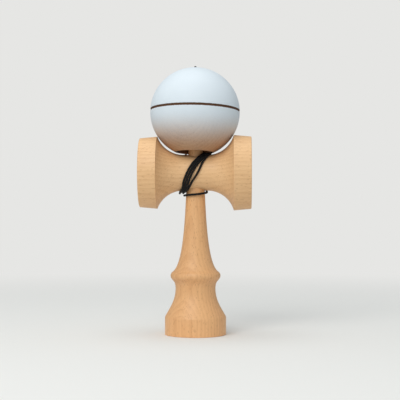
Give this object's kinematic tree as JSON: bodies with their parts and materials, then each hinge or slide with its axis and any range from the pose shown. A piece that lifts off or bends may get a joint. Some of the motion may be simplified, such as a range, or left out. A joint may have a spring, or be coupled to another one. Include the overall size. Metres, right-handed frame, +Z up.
{
  "type": "kendama",
  "caption": "Wooden kendama standing on its foot: turned handle with spike and base cup, cross piece with a large and a small cup, painted ball with a spike hole, string wound on the waist.",
  "frame": {"origin": "middle of the ring the foot stands on, on the floor", "axes": "+Z up along the handle, +X along the cross piece towards the larger cup, -Y towards the front of the picture"},
  "size_m": [0.075, 0.0614, 0.1808],
  "materials": {
    "handle_wood": "bare sanded beech, satin",
    "cross_wood": "bare sanded beech, satin",
    "ball_paint": "pale blue satin paint on wood, burnt groove",
    "bead_wood": "turned wood",
    "string": "black braided cord"
  },
  "bodies": {
    "ken": {"ken": "handle_wood", "ken_knot": "string"},
    "sarado": {"sarado": "cross_wood", "string_winding": "string"},
    "string_end": {"string_lead": "string", "bead": "bead_wood", "bead_knot": "string"},
    "tama": {"tama": "ball_paint"}
  },
  "joints": [
    {"name": "sarado_pull", "type": "slide", "parent": "ken", "child": "sarado", "axis": [0, 0, 1], "range_m": [0, 0.072]},
    {"name": "tama_lift", "type": "slide", "parent": "sarado", "child": "string_end", "axis": [0, 0, 1], "range_m": [0, 0.06]},
    {"name": "tama_spin", "type": "hinge", "parent": "string_end", "child": "tama", "pos_m": [-0.00034, 0, 0.14919], "axis": [0.0174, 0.0785, 0.9968], "continuous": true}
  ]
}
